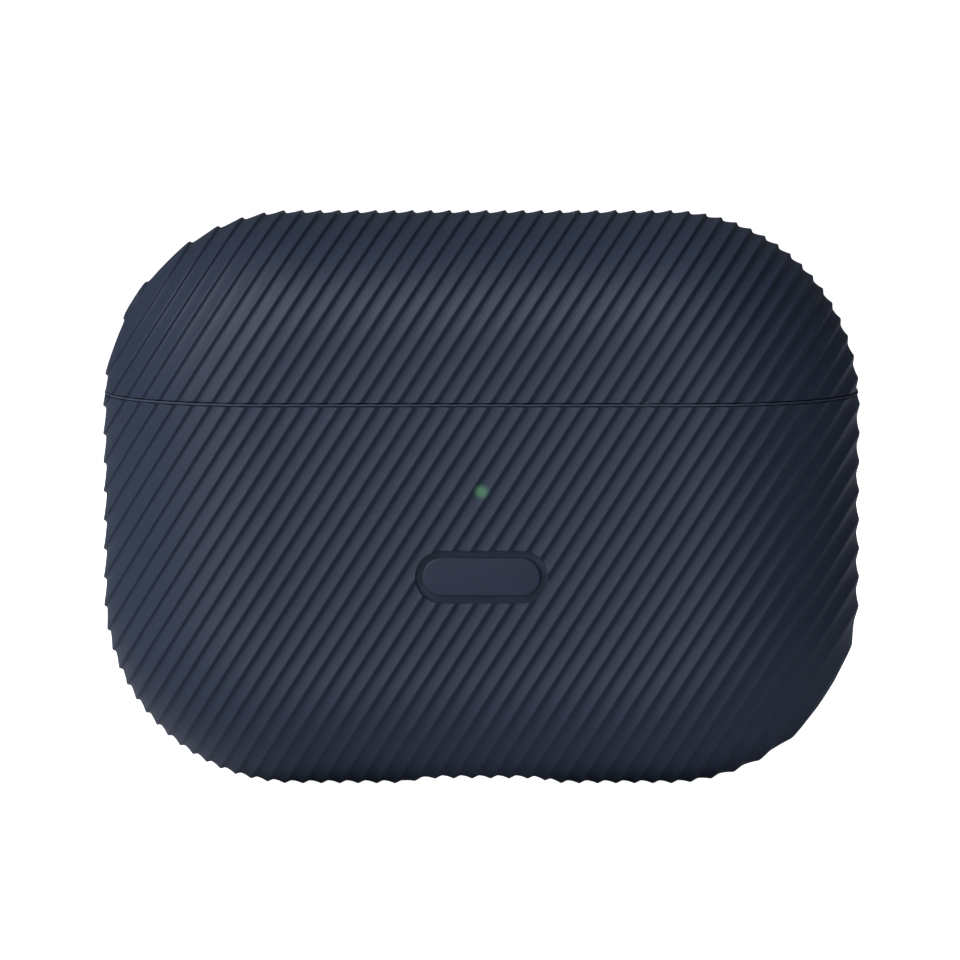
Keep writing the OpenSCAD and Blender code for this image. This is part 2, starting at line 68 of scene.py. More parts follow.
KNUCKLE_L = (BARREL_L - (KNUCKLES - 1) * KNUCKLE_GAP) / KNUCKLES
STRAP_NEAR, STRAP_FAR = 0.4, LEAF_NEAR + 0.2

# ---- the cover's ribs: tilted shingles with a short drop and a long hollow rise ----
RIB_SLOPE = math.radians(57.5)
RIB_LEAN = 0.12  # fall of the ribs' planes from front to back
RIB_UPRIGHT = 5.0  # stretch before the upper left corner in which the lean fades
RIB_PITCH = 1.30
RIB_DEPTH = 0.27
RIB_DROP = 0.22
RIB_HOLLOW = 1.8  # 1 is a straight rise
RIB_SOFTNESS = 0.065
RIB_PHASE = 0.30
RIB_STEPS = (0.0, 0.05, 0.1, 0.15, 0.2, 0.26, 0.36, 0.5, 0.64, 0.78, 0.88, 0.95)
TIP_ZONE, TIP_STEP = 0.6, 0.02  # finer steps this near the two corners where the ribs run out
LOOP_POINTS = 440
HALVINGS = 30  # rounds of the search for a loop's points
FAR = 40.0  # well beyond the case

# ---- the seam: the ribs end just short of a smooth bead on the lower rim ----
SEAM_GAP = 0.08
BEAD_H = 0.16
BEAD_INSET = 0.1
BEAD_GROOVE = 0.07
RIB_END = 0.1


# ---- mesh helpers ----

def inside(points, inset):
    """True for each point that lies in the case's form shrunk by inset."""
    x, y = np.abs(points[..., 0]), np.abs(points[..., 1])
    z = np.abs(points[..., 2] - MID_Z)
    s = np.clip((y - FLAT_HALF) / (HALF_D - inset - FLAT_HALF), 0, 1)
    back = 1 - np.sqrt(1 - s * s)
    w = HALF_W - inset - back * (EDGE_X - inset)
    h = HALF_H - inset - back * (EDGE_Z - inset)
    r = CORNER_R - inset - back * ((EDGE_X + EDGE_Z) / 2 - inset)
    dx = np.maximum(x - (w - r), 0)
    dz = np.maximum(z - (h - r), 0)
    return (np.hypot(dx, dz) <= r) & (y <= HALF_D - inset)


def section(centre, across, up, inset, count):
    """Loops where planes cut the form, each seen from its own centre.
    across and up are two directions in the plane: one pair for all planes, or one for each."""
    a = np.linspace(0, 2 * math.pi, count, endpoint=False)
    across, up = (np.atleast_2d(v)[:, None] for v in (across, up))
    rays = np.cos(a)[:, None] * across + np.sin(a)[:, None] * up
    low = np.zeros((len(centre), count))
    high = np.full_like(low, 2 * HALF_W)
    inset = np.broadcast_to(np.asarray(inset, float).reshape(-1, 1), low.shape)
    for _ in range(HALVINGS):
        mid = (low + high) / 2
        hit = inside(centre[:, None] + mid[..., None] * rays, inset)
        low, high = np.where(hit, mid, low), np.where(hit, high, mid)
    return centre[:, None] + low[..., None] * rays


def solid(name, points, faces):
    """Object from points and faces, with its normals outwards."""
    mesh = bpy.data.meshes.new(name)
    mesh.from_pydata([tuple(p) for p in points], [], faces)
    bm = bmesh.new()
    bm.from_mesh(mesh)
    bmesh.ops.recalc_face_normals(bm, faces=bm.faces)
    bm.to_mesh(mesh)
    bm.free()
    obj = bpy.data.objects.new(name, mesh)
    bpy.context.scene.collection.objects.link(obj)
    return obj


def loft(name, loops):
    """Closed object through loops of equal count, capped at both ends."""
    loops = np.asarray(loops, float)
    rows, count = loops.shape[:2]
    index = np.arange(rows * count).reshape(rows, count)
    after = np.roll(index, -1, axis=1)
    faces = np.stack([index[:-1], after[:-1], after[1:], index[1:]], -1).reshape(-1, 4).tolist()
    points = np.vstack([loops.reshape(-1, 3), loops[0].mean(0), loops[-1].mean(0)])
    first, last = rows * count, rows * count + 1
    faces += [(int(b), int(a), first) for a, b in zip(index[0], after[0])]
    faces += [(int(a), int(b), last) for a, b in zip(index[-1], after[-1])]
    return solid(name, points, faces)


def combine(target, tool, operation):
    """Applies one boolean and removes the tool."""
    mod = target.modifiers.new(operation, "BOOLEAN")
    mod.operation = operation
    mod.object = tool
    mod.solver = "MANIFOLD"
    apply_modifiers(target)
    bpy.data.objects.remove(tool)
    return target


def apply_modifiers(obj):
    graph = bpy.context.evaluated_depsgraph_get()
    mesh = bpy.data.meshes.new_from_object(obj.evaluated_get(graph))
    obj.modifiers.clear()
    old = obj.data
    obj.data = mesh
    bpy.data.meshes.remove(old)


def copy_of(obj, name):
    made = obj.copy()
    made.data = obj.data.copy()
    made.name = name
    bpy.context.scene.collection.objects.link(made)
    return made


def rounded(w, h, r, steps=12):
    """Outline of a rounded rectangle as a function of how far it is inset."""
    def outline(inset):
        radius = max(r - inset, 0.01)
        points = []
        for k, (sx, sy) in enumerate(((1, 1), (-1, 1), (-1, -1), (1, -1))):
            for i in range(steps + 1):
                a = math.pi / 2 * (k + i / steps)
                points.append((sx * (w / 2 - r) + radius * math.cos(a),
                               sy * (h / 2 - r) + radius * math.sin(a)))
        return np.array(points)
    return outline


def stadium(w, h):
    return rounded(w, h, h / 2)


def circle(r):
    return rounded(2 * r, 2 * r, r)


def quarter(radius, steps=6):
    """Rounded edge as (distance below the end, inset) pairs, from the side to the end."""
    angles = [math.pi / 2 * i / steps for i in range(steps + 1)]
    return [(radius * (1 - math.sin(a)), radius * (1 - math.cos(a))) for a in angles]


def extrude(name, outline, start, end, place, edge=0.0, edge_steps=6):
    """Solid from start to end, with a rounded edge at the end. place turns (a, b, height) into x, y, z."""
    sign = 1 if end > start else -1
    rim = quarter(edge, edge_steps) if edge else [(0.0, 0.0)]
    levels = [(start, 0.0)] + [(end - sign * below, inset) for below, inset in rim]
    return loft(name, [place(outline(inset), height) for height, inset in levels])


def facing_y(cx, cz):
    """Places an outline in x and z, with heights along y."""
    def place(outline, height):
        return np.stack([cx + outline[:, 0], np.full(len(outline), height), cz + outline[:, 1]], -1)
    return place


def facing_z(cx, cy=0.0):
    """Places an outline in x and y, with heights along z."""
    def place(outline, height):
        return np.stack([cx + outline[:, 0], cy + outline[:, 1], np.full(len(outline), height)], -1)
    return place


def facing_x(cy, cz):
    """Places an outline in y and z, with heights along x."""
    def place(outline, height):
        return np.stack([np.full(len(outline), height), cy + outline[:, 0], cz + outline[:, 1]], -1)
    return place


def finish_piece(obj, material, body, replaced, sharp=38):
    """Scales a finished piece to metres, shades it, and lets it ride on its body."""
    mesh = obj.data
    co = np.empty(len(mesh.vertices) * 3, np.float32)
    mesh.vertices.foreach_get("co", co)
    mesh.vertices.foreach_set("co", co * MM)
    mesh.polygons.foreach_set("use_smooth", [True] * len(mesh.polygons))
    mesh.set_sharp_from_angle(angle=math.radians(sharp))
    mesh.materials.clear()
    mesh.materials.append(material)
    mesh.update()
    if replaced:
        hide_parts(*replaced)
    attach(obj, body)
    return obj


# ---- the case's forms ----

def rib_depth(t):
    """Depth of the cover's surface, t pitches past a crest."""
    def profile(part):
        rise = np.clip((part - RIB_DROP) / (1 - RIB_DROP), 0, 1)
        return RIB_DEPTH * np.minimum(part / RIB_DROP, 1 - rise ** RIB_HOLLOW)
    soft = np.linspace(-RIB_SOFTNESS, RIB_SOFTNESS, 9)
    depth = profile((np.asarray(t, float)[..., None] + soft) % 1).mean(-1)
    return np.maximum(depth - profile(soft % 1).mean(), 0)


def ribbed_form():
    """The outside of the cover: loops in the planes of the ribs, which slant, and run front to back."""
    c, s = math.cos(RIB_SLOPE), math.sin(RIB_SLOPE)
    normal, along = np.array([s, 0, -c]), np.array([c, 0, s])
    tip_u = (HALF_W - CORNER_R) * s + (HALF_H - CORNER_R) * c + CORNER_R
    tip_v = (HALF_W - CORNER_R) * c - (HALF_H - CORNER_R) * s
    ribs = int(tip_u / RIB_PITCH) + 2
    steps = np.array([k + t for k in range(-ribs, ribs + 1) for t in RIB_STEPS])
    tip_steps = np.arange(-ribs, ribs, TIP_STEP)
    tip_steps = tip_steps[np.abs((tip_steps + RIB_PHASE) * RIB_PITCH) > tip_u - TIP_ZONE]
    steps = np.unique(np.round(np.concatenate([steps, tip_steps]), 3))
    u = (steps + RIB_PHASE) * RIB_PITCH
    depth = rib_depth(steps)
    lean = np.interp(u, [-tip_u, RIB_UPRIGHT - tip_u], [0.0, RIB_LEAN])
    deep = np.stack([0 * lean, 1 + 0 * lean, -lean], -1)
    centre = np.array([0, 0, MID_Z]) + u[:, None] * normal + (u / tip_u * tip_v)[:, None] * along
    centre -= (u / tip_u * FLAT_HALF)[:, None] * deep
    keep = inside(centre, depth) & (tip_u + c * lean * FLAT_HALF - depth - np.abs(u) > 0.02)
    return loft("ribbed_form", section(centre[keep], along, deep[keep], depth[keep], LOOP_POINTS))


def smooth_form(name, inset):
    """The case's form shrunk by inset, as a stack of outlines from front to back."""
    depth = HALF_D - inset
    half = [FLAT_HALF + (depth - FLAT_HALF) * math.sin(a) for a in np.linspace(0, math.pi / 2, 45)]
    ys = np.array([-y for y in reversed(half)] + half)
    ys[0] += 1e-4
    ys[-1] -= 1e-4
    centre = np.stack([0 * ys, ys, 0 * ys + MID_Z], -1)
    return loft(name, section(centre, np.array([1.0, 0, 0]), np.array([0, 0, 1.0]), inset, 240))


def half_keeper(side, gap, rim, inset=0.0):
    """What the upper half (side 1) or the lower half (side -1) of a form may fill.
    rim is the shape of its edge at the seam, as (distance from the edge, inset) pairs."""
    edge = SEAM_Z + side * gap / 2
    far_z = SEAM_Z + FAR if side > 0 else 0.0
    wide = -HALF_W  # grown, not shrunk, so that the keeper clears the form away from the rim
    insets = np.array([wide, wide, *(inset + i for _, i in rim)])
    heights = np.array([SEAM_Z, SEAM_Z, *(edge + side * d for d, _ in rim)])
    centre = np.stack([0 * heights, 0 * heights, heights], -1)
    loops = section(centre, np.array([1.0, 0, 0]), np.array([0, 1.0, 0]), insets, LOOP_POINTS)
    loops[0, :, 2] = far_z
    loops[1, :, 2] = heights[2]
    return loft("keeper", loops)


def rib_ends(distance):
    """Rim where the ribs round off, this far from the seam."""
    return [(distance + RIB_END * (1 - math.sin(a)), -0.02 + (RIB_DEPTH + 0.06) * (1 - math.cos(a)))
            for a in np.linspace(0, math.pi / 2, 6)]


def seam_bead():
    """Disc whose edge is the smooth bead round the lower rim; the hollow is cut from it later."""
    edge = SEAM_Z - SEAM_GAP / 2
    low = edge - BEAD_H
    profile = [(low - BEAD_GROOVE, RIB_DEPTH + 0.06), (low, RIB_DEPTH + 0.04),
               (low + 0.02, BEAD_INSET + 0.03), (low + 0.05, BEAD_INSET),
               (edge - 0.06, BEAD_INSET), (edge - 0.02, BEAD_INSET + 0.04), (edge, BEAD_INSET + 0.12)]
    heights = np.array([z for z, _ in profile])
    centre = np.stack([0 * heights, 0 * heights, heights], -1)
    insets = np.array([inset for _, inset in profile])
    return loft("bead", section(centre, np.array([1.0, 0, 0]), np.array([0, 1.0, 0]), insets, LOOP_POINTS))


# ---- silicone cover ----
PORT_WINDOW = rounded(12.6, 11.4, 3.0)
HINGE_WINDOW, HINGE_WINDOW_Y = stadium(48.0, 5.6), 7.1
BUTTON_Z, BUTTON_WINDOW_R = 17.7, 4.6
BADGE_W, BADGE_H, BADGE_Z = 11.0, 4.4, 18.5
BADGE_GROOVE, BADGE_DEPTH = 0.6, 0.45
BADGE_WELL_EDGE, BADGE_EDGE, BADGE_DROP = 0.12, 0.2, 0.02
LED_Z = 25.6
GLOW_R, GLOW_CORE_R = 0.78, 0.1


def hinge_window():
    return extrude("hinge_window", HINGE_WINDOW, HINGE_WINDOW_Y, HALF_D + 2, facing_y(0, SEAM_Z))


def port_window():
    """Window round the charging port, flared at its outer edge."""
    levels = ((2.8, 0.0), (0.9, 0.0), (0.45, -0.12), (0.0, -0.5), (-1.0, -0.5))
    return loft("port_window", [facing_z(0)(PORT_WINDOW(inset), z) for z, inset in levels])


def button_window():
    """Round window behind the setup button, flared at its outer edge."""
    levels = ((8.0, 0.0), (HALF_D - 0.45, 0.0), (HALF_D - 0.2, -0.08), (HALF_D, -0.35), (HALF_D + 1, -0.35))
    outline = circle(BUTTON_WINDOW_R)
    return loft("button_window", [facing_y(0, BUTTON_Z)(outline(inset), y) for y, inset in levels])


def add_badge(cover):
    """Blank badge: a smooth island, level with the crests, in a groove."""
    place = facing_y(0, BADGE_Z)
    well = extrude("badge_well", stadium(BADGE_W, BADGE_H), -HALF_D - 1, BADGE_DEPTH - HALF_D, place,
                   BADGE_WELL_EDGE)
    combine(cover, well, "DIFFERENCE")
    outline = stadium(BADGE_W - 2 * BADGE_GROOVE, BADGE_H - 2 * BADGE_GROOVE)
    island = extrude("badge_island", outline, -REAR_OUT - 0.4, BADGE_DROP - HALF_D, place, BADGE_EDGE)
    combine(cover, island, "UNION")


def build_cover():
    ribs = ribbed_form()
    hollow = smooth_form("hollow", SKIN_T)
    material = FINISHES["silicone"]
    lower_rim = rib_ends(BEAD_H + BEAD_GROOVE) + [(0.0, RIB_DEPTH + 0.05)]
    base = combine(copy_of(ribs, "cover_base"), half_keeper(-1, SEAM_GAP, lower_rim), "INTERSECT")
    combine(base, seam_bead(), "UNION")
    add_badge(base)
    combine(base, copy_of(hollow, "base_hollow"), "DIFFERENCE")
    for window in (hinge_window(), port_window(), button_window()):
        combine(base, window, "DIFFERENCE")
    lid = combine(ribs, half_keeper(1, SEAM_GAP, rib_ends(0.0)), "INTERSECT")
    lid.name = "cover_lid"
    combine(lid, hollow, "DIFFERENCE")
    combine(lid, hinge_window(), "DIFFERENCE")
    finish_piece(base, material, "base", ["base_skin"])
    finish_piece(lid, material, "lid", ["lid_skin"])


# ---- hard shells, tray and liner ----
SHELL_GAP = 0.12
SHELL_RIM = 0.3
TRAY_TOP, TRAY_T = 32.6, 1.2
LINER_BOTTOM, LINER_T = 33.2, 1.0
PLATE_INSET = SHELL_IN + 0.05
WHOLE_PLAN = rounded(80, 40, 1)  # wider and deeper than the case
BOWL_X, BOWL_Z, BOWL_R = 14.2, 33.9, 9.5
BOWL_HALF_D = 7.5
DOME_Z, DOME_R = 31.9, 9.3
WALL = 1.0
STEM_X, STEM_R, STEM_FLOOR = 9.6, 3.4, 8.9
STEM_EDGE, STEM_WALL_EDGE = 0.6, 0.5
STEM_WALL_TOP, STEM_TOP = 26.0, 30.0  # both reach up into the bowl
DOME_WALL = 0.9
CONTACT_PITCH, CONTACT_HOLE_R = 3.0, 0.53
MOUTH_EDGE = 0.45
POLE_ANGLE = 0.08  # a bowl or dome starts this far from its pole
PIPE_HOLE_R = 0.55
PORT_HOLE_GAP, BUTTON_HOLE_GAP = 0.05, 0.06
SHELL_INNER_Y = 8.0  # a little inside the shell's front and back walls
POCKET_GAP = 0.15


def hinge_pocket(target, side):
    """Room for a hinge leaf and its barrel."""
    z = sorted((SEAM_Z, SEAM_Z + side * (LEAF_FAR + 0.1)))
    leaf = rounded(BARREL_L + 2 * POCKET_GAP, z[1] - z[0], 0.3)
    place = facing_y(0, (z[0] + z[1]) / 2)
    combine(target, extrude("leaf_pocket", leaf, LEAF_Y - 0.02, HALF_D, place), "DIFFERENCE")
    half = BARREL_L / 2 + 2 * POCKET_GAP
    barrel = extrude("barrel_pocket", circle(BARREL_R + POCKET_GAP), -half, half, facing_x(AXIS_Y, SEAM_Z))
    combine(target, barrel, "DIFFERENCE")


def hard_shell(name, side, outer, inner):
    """One half of the hard case, with a rounded rim and its hinge pocket."""
    shell = combine(outer, half_keeper(side, SHELL_GAP, quarter(SHELL_RIM), SHELL_OUT), "INTERSECT")
    shell.name = name
    combine(shell, inner, "DIFFERENCE")
    hinge_pocket(shell, side)
    return shell


def ball_mouth(cx, half_d):
    """Places a round outline of a given radius, flattened at the front and back."""
    def loop(radius, grow, z, count=96, squareness=18):
        a = np.linspace(0, 2 * math.pi, count, endpoint=False)
        flat = np.abs(np.sin(a)) / (half_d + grow)
        rho = ((1 / (radius + grow)) ** squareness + flat ** squareness) ** (-1 / squareness)
        return np.stack([cx + rho * np.cos(a), rho * np.sin(a), np.full(count, z)], -1)
    return loop


def bowl_cutter(side):
    """Inside of an earbud bowl, with a flared mouth."""
    loop = ball_mouth(side * BOWL_X, BOWL_HALF_D)
    top = TRAY_TOP - MOUTH_EDGE
    bottom = BOWL_Z - BOWL_R
    zs = [bottom + (top - bottom) * (1 - math.cos(a)) for a in np.linspace(POLE_ANGLE, math.pi / 2, 26)]
    loops = [loop(math.sqrt(BOWL_R ** 2 - (BOWL_Z - z) ** 2), 0.0, z) for z in zs]
    radius = math.sqrt(BOWL_R ** 2 - (BOWL_Z - top) ** 2)
    loops += [loop(radius, grow, TRAY_TOP - below) for below, grow in quarter(MOUTH_EDGE)[1:]]
    loops.append(loop(radius, MOUTH_EDGE, TRAY_TOP + 2))
    return loft("bowl_cutter", loops)


def bowl_wall(side):
    """Outside of an earbud bowl, up to the tray's plate."""
    loop = ball_mouth(side * BOWL_X, BOWL_HALF_D + WALL)
    zs = np.linspace(BOWL_Z - BOWL_R - WALL + 0.05, TRAY_TOP - 0.2, 30)
    return loft("bowl_wall", [loop(math.sqrt((BOWL_R + WALL) ** 2 - (BOWL_Z - z) ** 2), 0.0, z) for z in zs])


def stem_tube(name, side, radius, bottom, top, edge):
    return extrude(name, circle(radius), top, bottom, facing_z(side * STEM_X), edge)


def inner_tray():
    """Plate, two bowls and two stem wells in one moulding."""
    tray = smooth_form("tray", PLATE_INSET)
    slab = extrude("slab", WHOLE_PLAN, TRAY_TOP - TRAY_T, TRAY_TOP, facing_z(0))
    combine(tray, slab, "INTERSECT")
    for side in (-1, 1):
        combine(tray, bowl_wall(side), "UNION")
        wall = stem_tube("stem_wall", side, STEM_R + WALL, STEM_FLOOR - WALL, STEM_WALL_TOP, STEM_WALL_EDGE)
        combine(tray, wall, "UNION")
    for side in (-1, 1):
        combine(tray, bowl_cutter(side), "DIFFERENCE")
        combine(tray, stem_tube("stem", side, STEM_R, STEM_FLOOR, STEM_TOP, STEM_EDGE), "DIFFERENCE")
    for x in CONTACTS.values():
        hole = extrude("pin_hole", circle(CONTACT_HOLE_R), STEM_FLOOR - 2, STEM_FLOOR + 0.5, facing_z(x))
        combine(tray, hole, "DIFFERENCE")
    return tray


def dome(name, side, grow, edge):
    """Rounded dome over an earbud; grow thickens it, and edge flares its mouth."""
    loop = ball_mouth(side * BOWL_X, BOWL_HALF_D + grow)
    radius = DOME_R + grow
    mouth_angle = math.asin((LINER_BOTTOM + edge - DOME_Z) / radius)
    zs = DOME_Z + radius * np.sin(np.linspace(math.pi / 2 - POLE_ANGLE, mouth_angle, 26))
    loops = [loop(math.sqrt(radius ** 2 - (z - DOME_Z) ** 2), 0.0, z) for z in zs]
    mouth = math.sqrt(radius ** 2 - (zs[-1] - DOME_Z) ** 2)
    if edge:
        loops += [loop(mouth, flare, LINER_BOTTOM + below) for below, flare in quarter(edge)[1:]]
        loops.append(loop(mouth, edge, LINER_BOTTOM - 2))
    return loft(name, loops)


def lid_liner():
    """Plate with two domes in one moulding."""
    liner = smooth_form("liner", PLATE_INSET)
    slab = extrude("slab", WHOLE_PLAN, LINER_BOTTOM, LINER_BOTTOM + LINER_T, facing_z(0))
    combine(liner, slab, "INTERSECT")
    for side in (-1, 1):
        combine(liner, dome("dome_wall", side, DOME_WALL, 0.0), "UNION")
    for side in (-1, 1):
        combine(liner, dome("dome_hollow", side, 0.0, MOUTH_EDGE), "DIFFERENCE")
    return liner


def build_case():
    white = FINISHES["white_plastic"]
    outer, inner = smooth_form("outer", SHELL_OUT), smooth_form("inner", SHELL_IN)
    base = hard_shell("case_base", -1, copy_of(outer, "base_outer"), copy_of(inner, "base_inner"))
    port = stadium(PORT_W + 2 * PORT_HOLE_GAP, PORT_D + 2 * PORT_HOLE_GAP)
    combine(base, extrude("port_hole", port, 0.2, 5.0, facing_z(0)), "DIFFERENCE")
    button = circle(BUTTON_R + BUTTON_HOLE_GAP)
    combine(base, extrude("button_hole", button, SHELL_INNER_Y, HALF_D, facing_y(0, BUTTON_Z)), "DIFFERENCE")
    pipe = extrude("pipe_hole", circle(PIPE_HOLE_R), -HALF_D, -SHELL_INNER_Y, facing_y(0, LED_Z))
    combine(base, pipe, "DIFFERENCE")
    lid = hard_shell("case_lid", 1, outer, inner)
    finish_piece(base, white, "base", ["base_shell"])
    finish_piece(lid, white, "lid", ["lid_shell"])
    finish_piece(inner_tray(), white, "base", ["inner_tray"], 50)
    finish_piece(lid_liner(), white, "lid", ["lid_liner"], 50)


# ---- small parts ----
BUTTON_R, BUTTON_EDGE = 3.5, 0.35
FLANGE_R, FLANGE_INNER_Y, FLANGE_OUTER_Y = 4.4, 8.87, 9.37
DISH_R, DISH_DEPTH = 3.15, 0.28
LEAF_SCREW_X, LEAF_SCREW_Z = 7.0, 3.5
LEAF_HEAD_Y, LEAF_HEAD_R, LEAF_HEAD_T = 10.56, 0.9, 0.23
LEAF_HOLE_R, SEAT_GAP, SEAT_DEPTH = 0.43, 0.03, 0.25
LEAF_EDGE, KNUCKLE_EDGE = 0.08, 0.08
SHAFT_Y, SHAFT_R = 9.53, 0.4
RECESS_L, RECESS_W, RECESS_Y = 1.0, 0.26, LEAF_HEAD_Y + 0.05
PORT_W, PORT_D, PORT_L, PORT_BOTTOM = 8.94, 3.16, 7.0, 1.48
PORT_LIP, PORT_WALL, PORT_FIT = 0.12, 0.3, 0.02
PORT_BLOCK_T = 1.0
TONGUE_W, TONGUE_T, TONGUE_L = 6.7, 0.7, 4.8
STRIPS, STRIP_PITCH, STRIP_W, STRIP_T = 12, 0.5, 0.26, 0.04
CONTACTS = {"left_outer": -STEM_X - CONTACT_PITCH / 2, "left_inner": -STEM_X + CONTACT_PITCH / 2,
            "right_inner": STEM_X - CONTACT_PITCH / 2, "right_outer": STEM_X + CONTACT_PITCH / 2}
SPRING_BOTTOM, SPRING_TOP, SPRING_TURNS = 5.3, 6.73, 4
COIL_R, WIRE_R, PIN_TRAVEL = 0.5, 0.09, 0.5


def build_button():
    """Setup button: a cap with a rounded edge and a shallow dish, on its flange."""
    place = facing_y(0, BUTTON_Z)
    levels = [(FLANGE_INNER_Y, FLANGE_R), (FLANGE_OUTER_Y, FLANGE_R), (FLANGE_OUTER_Y, BUTTON_R)]
    levels += [(REAR_OUT - below, BUTTON_R - inset) for below, inset in quarter(BUTTON_EDGE)]
    levels += [(REAR_OUT - DISH_DEPTH * (1 - (r / DISH_R) ** 2), r) for r in (2.9, 2.4, 1.8, 1.1, 0.4)]
    cap = loft("setup_cap", [place(circle(r)(0.0), y) for y, r in levels])
    combine(cap, extrude("stem", circle(1.0), 8.5, 9.0, place), "UNION")
    finish_piece(cap, FINISHES["white_plastic"], "button", ["setup_button"])


def build_hinge_screws(name, side, body, node):
    """Two flat-headed screws with rounded edges and cross recesses."""
    screws = None
    for x in (-LEAF_SCREW_X, LEAF_SCREW_X):
        place = facing_y(x, SEAM_Z + side * LEAF_SCREW_Z)
        head = extrude(name, circle(LEAF_HEAD_R), LEAF_HEAD_Y, LEAF_HEAD_Y + LEAF_HEAD_T, place, 0.08)
        combine(head, extrude("shaft", circle(SHAFT_R), SHAFT_Y, RECESS_Y, place), "UNION")
        for w, h in ((RECESS_L, RECESS_W), (RECESS_W, RECESS_L)):
            recess = extrude("recess", rounded(w, h, 0.05, 3), RECESS_Y, HALF_D, place)
            combine(head, recess, "DIFFERENCE")
        screws = combine(screws, head, "UNION") if screws else head
    finish_piece(screws, FINISHES["steel"], body, [node])


def knuckle(i, radius, inset=0.0, reach=0.0):
    """One knuckle of the barrel, counted from the left, with rounded ends."""
    x = -BARREL_L / 2 + i * (KNUCKLE_L + KNUCKLE_GAP)
    place = facing_x(AXIS_Y, SEAM_Z)
    outline = circle(radius)
    ends = [(x - reach, inset), (x + inset - reach, 0.0), (x + KNUCKLE_L - inset + reach, 0.0),
            (x + KNUCKLE_L + reach, inset)]
    return loft("knuckle", [place(outline(shrunk), at) for at, shrunk in ends])


def build_hinge_leaf(node, side, first, bore_r, body):
    """Leaf plate with every other knuckle of the barrel, bored for the pin."""
    place = facing_y(0, SEAM_Z + side * (LEAF_NEAR + LEAF_FAR) / 2)
    plate = rounded(BARREL_L, LEAF_FAR - LEAF_NEAR, 0.4)
    leaf = extrude(node + "_rounded", plate, LEAF_Y, LEAF_Y + LEAF_T, place, LEAF_EDGE, 1)
    for i in range(first, KNUCKLES, 2):
        middle = -BARREL_L / 2 + i * (KNUCKLE_L + KNUCKLE_GAP) + KNUCKLE_L / 2
        strap = facing_y(middle, SEAM_Z + side * (STRAP_NEAR + STRAP_FAR) / 2)
        outline = rounded(KNUCKLE_L, STRAP_FAR - STRAP_NEAR, 0.02, 2)
        combine(leaf, extrude("strap", outline, LEAF_Y, LEAF_Y + LEAF_T, strap), "UNION")
        combine(leaf, knuckle(i, BARREL_R, KNUCKLE_EDGE), "UNION")
    for i in range(first, KNUCKLES, 2):
        combine(leaf, knuckle(i, bore_r, 0.0, 0.05), "DIFFERENCE")
    for x in (-LEAF_SCREW_X, LEAF_SCREW_X):
        place = facing_y(x, SEAM_Z + side * LEAF_SCREW_Z)
        combine(leaf, extrude("hole", circle(LEAF_HOLE_R), LEAF_Y - 1, LEAF_Y + 1, place), "DIFFERENCE")
        seat = circle(LEAF_HEAD_R + SEAT_GAP)
        seat_y = LEAF_Y + LEAF_T - SEAT_DEPTH
        combine(leaf, extrude("seat", seat, seat_y, LEAF_Y + 1, place), "DIFFERENCE")
    finish_piece(leaf, FINISHES["steel"], body, [node])
    for face in leaf.data.polygons:
        face.use_smooth = abs(face.normal.y) < 0.999  # the flats stay flat


def build_port():
    """Connector shell with a rolled lip, and the tongue inside it."""
    outline = stadium(PORT_W, PORT_D)
    lip, wall = PORT_LIP, PORT_WALL
    levels = [(PORT_BOTTOM, wall - lip), (PORT_BOTTOM, lip), (PORT_BOTTOM + lip * 0.3, lip * 0.3),
              (PORT_BOTTOM + lip, 0.0), (PORT_BOTTOM + PORT_L, 0.0)]
    shell = loft("port_shell_rolled", [facing_z(0)(outline(inset), z) for z, inset in levels])
    levels = [(PORT_BOTTOM - 0.01, wall - lip), (PORT_BOTTOM + lip * 0.3, wall - lip * 0.3),
              (PORT_BOTTOM + lip, wall), (PORT_BOTTOM + PORT_L + 1, wall)]
    combine(shell, loft("bore", [facing_z(0)(outline(inset), z) for z, inset in levels]), "DIFFERENCE")
    finish_piece(shell, FINISHES["steel"], "base", ["charge_port"])
    top = PORT_BOTTOM + PORT_L
    block_z = top - PORT_BLOCK_T
    inset = wall + PORT_FIT
    block = stadium(PORT_W - 2 * inset, PORT_D - 2 * inset)
    tongue = extrude("tongue_rounded", block, top, block_z, facing_z(0))
    blade = extrude("blade", rounded(TONGUE_W, TONGUE_T, 0.2), block_z + 0.5, block_z - TONGUE_L,
                    facing_z(0), 0.15, 1)
    combine(tongue, blade, "UNION")
    finish_piece(tongue, FINISHES["black_plastic"], "base", ["port_tongue"])


def build_port_contacts():
    """Gilt strips on each face of the tongue, as one piece."""
    strips = None
    top = PORT_BOTTOM + PORT_L - PORT_BLOCK_T
    for face in (-1, 1):
        for i in range(STRIPS):
            place = facing_z((i - (STRIPS - 1) / 2) * STRIP_PITCH, face * TONGUE_T / 2)
            outline = rounded(STRIP_W, STRIP_T, 0.015, 2)
            strip = extrude("strip", outline, top, top - TONGUE_L + 0.7, place, 0.01)
            strips = combine(strips, strip, "UNION") if strips else strip
    strips.name = "port_contacts"
    finish_piece(strips, FINISHES["gold_plate"], "base", [])


def build_springs():
    """Contact springs of round wire."""
    steps = SPRING_TURNS * 24
    rise = SPRING_TOP - SPRING_BOTTOM - 2 * WIRE_R
    around = np.linspace(0, 2 * math.pi, 10, endpoint=False)
    for name, x in CONTACTS.items():
        loops = []
        for s in range(steps + 1):
            a = 2 * math.pi * SPRING_TURNS * s / steps
            r = COIL_R + WIRE_R * np.cos(around)
            z = SPRING_BOTTOM + WIRE_R * (1 + np.sin(around)) + rise * s / steps
            loops.append(np.stack([x + r * math.cos(a), r * math.sin(a), z], -1))
        node = "contact_spring_" + name
        spring = finish_piece(loft(node + "_wire", loops), FINISHES["steel"], "base", [node], 60)
        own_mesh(spring)


# ---- materials ----

